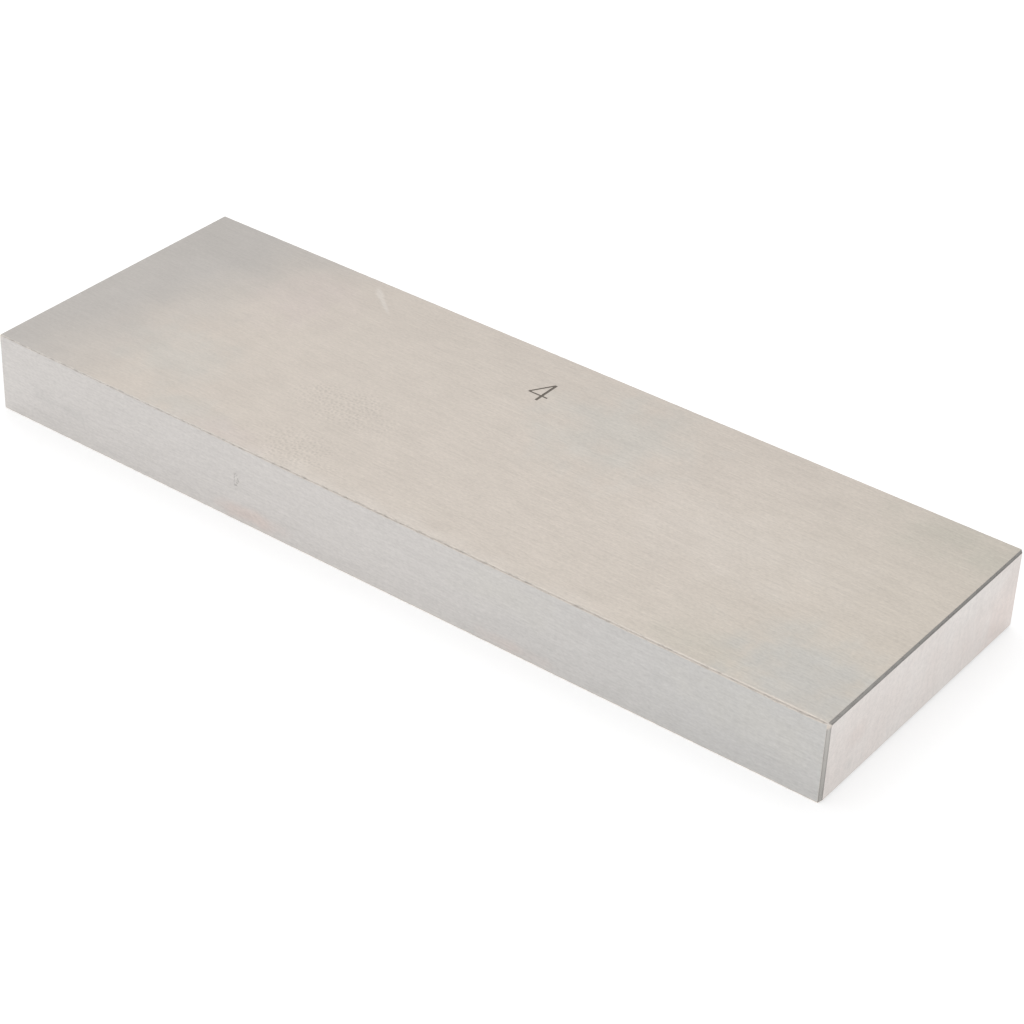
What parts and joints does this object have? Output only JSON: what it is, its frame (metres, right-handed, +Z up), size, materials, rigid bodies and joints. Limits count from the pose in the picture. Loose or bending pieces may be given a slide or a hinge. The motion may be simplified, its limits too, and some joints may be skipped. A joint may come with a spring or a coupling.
{
  "type": "gauge block",
  "caption": "Long rectangular gauge block of ground steel, with flat measuring faces at its two ends, small bevels round them and broken long edges.",
  "frame": {"origin": "middle of the lower wide side face, which the block rests on", "axes": "+X along the measured length, from one measuring face to the other; +Y across the wide side faces; +Z up through the thickness, to the wide side face that carries the size mark"},
  "size_m": [0.1016, 0.0346, 0.0089],
  "materials": {
    "ground_steel": "finely ground, satin"
  },
  "bodies": {
    "root": {"gauge_block": "ground_steel"}
  },
  "joints": []
}
